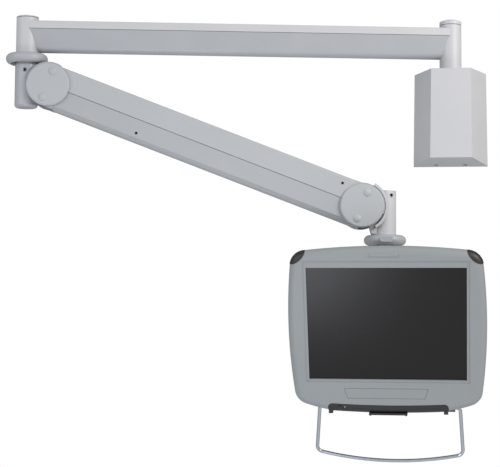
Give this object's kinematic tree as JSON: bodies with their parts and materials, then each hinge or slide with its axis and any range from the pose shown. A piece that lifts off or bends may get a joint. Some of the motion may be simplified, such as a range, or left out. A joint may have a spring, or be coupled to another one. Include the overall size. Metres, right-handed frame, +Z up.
{
  "type": "patient monitor",
  "caption": "Bedside patient monitor with a framed screen and a fold-away bail, carried on a wall housing by an extension arm and a spring-balanced arm.",
  "frame": {"origin": "centre of the wall plate's back face, on the wall", "axes": "+Z up, +Y into the wall, +X to the right of a person facing the wall; the room is on the -Y side"},
  "size_m": [0.9769, 0.285, 0.9079],
  "materials": {
    "light_coat": "smooth satin powder coat, light grey",
    "arm_shell": "fine moulded texture, silver grey",
    "arm_underside": "fine moulded texture, mid grey",
    "arm_metal": "satin anodised extrusion and castings",
    "zinc_steel": "zinc plated sheet and bar",
    "dark_steel": "black oxide",
    "bearing_plastic": "natural acetal",
    "monitor_case": "fine moulded texture, blue grey",
    "black_plastic": "satin black moulding",
    "screen_glass": "smooth, reflective",
    "panel": "dark panel",
    "board": "solder resist",
    "lamp": "clear light pipe",
    "bail_chrome": "polished plate"
  },
  "bodies": {
    "wall_mount": {"wall_plate": "zinc_steel", "post_bracket": "zinc_steel", "post_bushes": "bearing_plastic", "housing_cover": "light_coat", "housing_screws": "zinc_steel"},
    "extension": {"wall_post": "light_coat", "wall_post_cap": "light_coat", "post_collars": "arm_metal", "arm_beam": "arm_metal", "arm_lid": "light_coat", "elbow_post": "light_coat", "elbow_post_cap": "light_coat", "elbow_spindle": "zinc_steel", "spindle_washer": "bearing_plastic", "upper_collar": "arm_metal"},
    "rear_knuckle": {"rear_knuckle": "arm_metal", "elbow_bush": "bearing_plastic", "rear_set_screw": "zinc_steel", "rear_pins": "zinc_steel", "rear_knuckle_plug": "arm_metal"},
    "spring_arm": {"arm_frame": "zinc_steel", "pivot_bushes": "bearing_plastic", "upper_shell": "arm_shell", "lower_shell": "arm_underside", "rear_near_cover": "arm_shell", "rear_far_cover": "arm_shell", "front_near_cover": "arm_shell", "front_far_cover": "arm_shell", "cover_plugs": "arm_shell", "side_screws": "dark_steel", "spring_seat": "zinc_steel", "spring": "dark_steel"},
    "spring_rod": {"spring_rod": "zinc_steel"},
    "tension_link": {"tension_link": "zinc_steel"},
    "front_knuckle": {"front_knuckle": "light_coat", "swivel_bush": "bearing_plastic", "front_set_screw": "zinc_steel", "front_pins": "zinc_steel", "lower_collar": "arm_metal", "collar_plug": "arm_metal"},
    "swivel_head": {"swivel_spindle": "zinc_steel", "swivel_washer": "bearing_plastic", "tilt_fork": "light_coat", "tilt_pin": "zinc_steel"},
    "monitor": {"mounting_bracket": "zinc_steel", "bracket_screws": "dark_steel", "rear_housing": "monitor_case", "front_bezel": "monitor_case", "screen_glass": "screen_glass", "lcd_panel": "panel", "chassis_plate": "arm_metal", "main_board": "board", "corner_caps": "black_plastic", "control_strip": "black_plastic", "centre_foot": "black_plastic", "status_lamp": "lamp", "bail_clips": "black_plastic"},
    "power_button": {"power_button": "black_plastic"},
    "bail": {"bail": "bail_chrome", "bail_tips": "black_plastic"}
  },
  "joints": [
    {"name": "ext_swing", "type": "hinge", "parent": "wall_mount", "child": "extension", "pos_m": [0, -0.06, 0.1], "axis": [0, 0, 1], "range_deg": [-5, 155]},
    {"name": "elbow_swing", "type": "hinge", "parent": "extension", "child": "rear_knuckle", "pos_m": [-0.85777, -0.21125, 0.06], "axis": [0, 0, 1], "range_deg": [-150, 150]},
    {"name": "arm_pitch", "type": "hinge", "parent": "rear_knuckle", "child": "spring_arm", "pos_m": [-0.81008, -0.20581, 0.0485], "axis": [-0.1132, 0.9936, 0], "range_deg": [-17, 29]},
    {"name": "link_fold", "type": "hinge", "parent": "rear_knuckle", "child": "tension_link", "pos_m": [-0.81008, -0.20581, 0.0245], "axis": [-0.1132, 0.9936, 0], "range_deg": [-17, 29]},
    {"name": "knuckle_level", "type": "hinge", "parent": "spring_arm", "child": "front_knuckle", "pos_m": [-0.18076, -0.13411, -0.19337], "axis": [-0.1132, 0.9936, 0], "range_deg": [-29, 17]},
    {"name": "spring_rod_slide", "type": "slide", "parent": "spring_arm", "child": "spring_rod", "axis": [0.9282, 0.1058, -0.3567], "range_m": [-0.0106, 0.0063]},
    {"name": "swivel", "type": "hinge", "parent": "front_knuckle", "child": "swivel_head", "pos_m": [-0.13307, -0.12868, -0.25337], "axis": [0, 0, 1], "range_deg": [-120, 120]},
    {"name": "monitor_tilt", "type": "hinge", "parent": "swivel_head", "child": "monitor", "pos_m": [-0.13307, -0.12868, -0.39337], "axis": [0.9998, -0.0175, 0], "range_deg": [-18, 20]},
    {"name": "power_button_press", "type": "slide", "parent": "monitor", "child": "power_button", "axis": [0.0163, 0.9334, 0.3584], "range_m": [0, 0.0015], "stiffness_N_per_m": 900},
    {"name": "bail_swing", "type": "hinge", "parent": "monitor", "child": "bail", "pos_m": [-0.12327, -0.14054, -0.59173], "axis": [0.9998, -0.0118, -0.0147], "range_deg": [-5, 80]}
  ],
  "couplings": [
    {"joint": "link_fold", "follows": "arm_pitch", "ratio": 1},
    {"joint": "knuckle_level", "follows": "arm_pitch", "ratio": -1},
    {"joint": "spring_rod_slide", "follows": "arm_pitch", "m_per_rad": -0.0205}
  ]
}
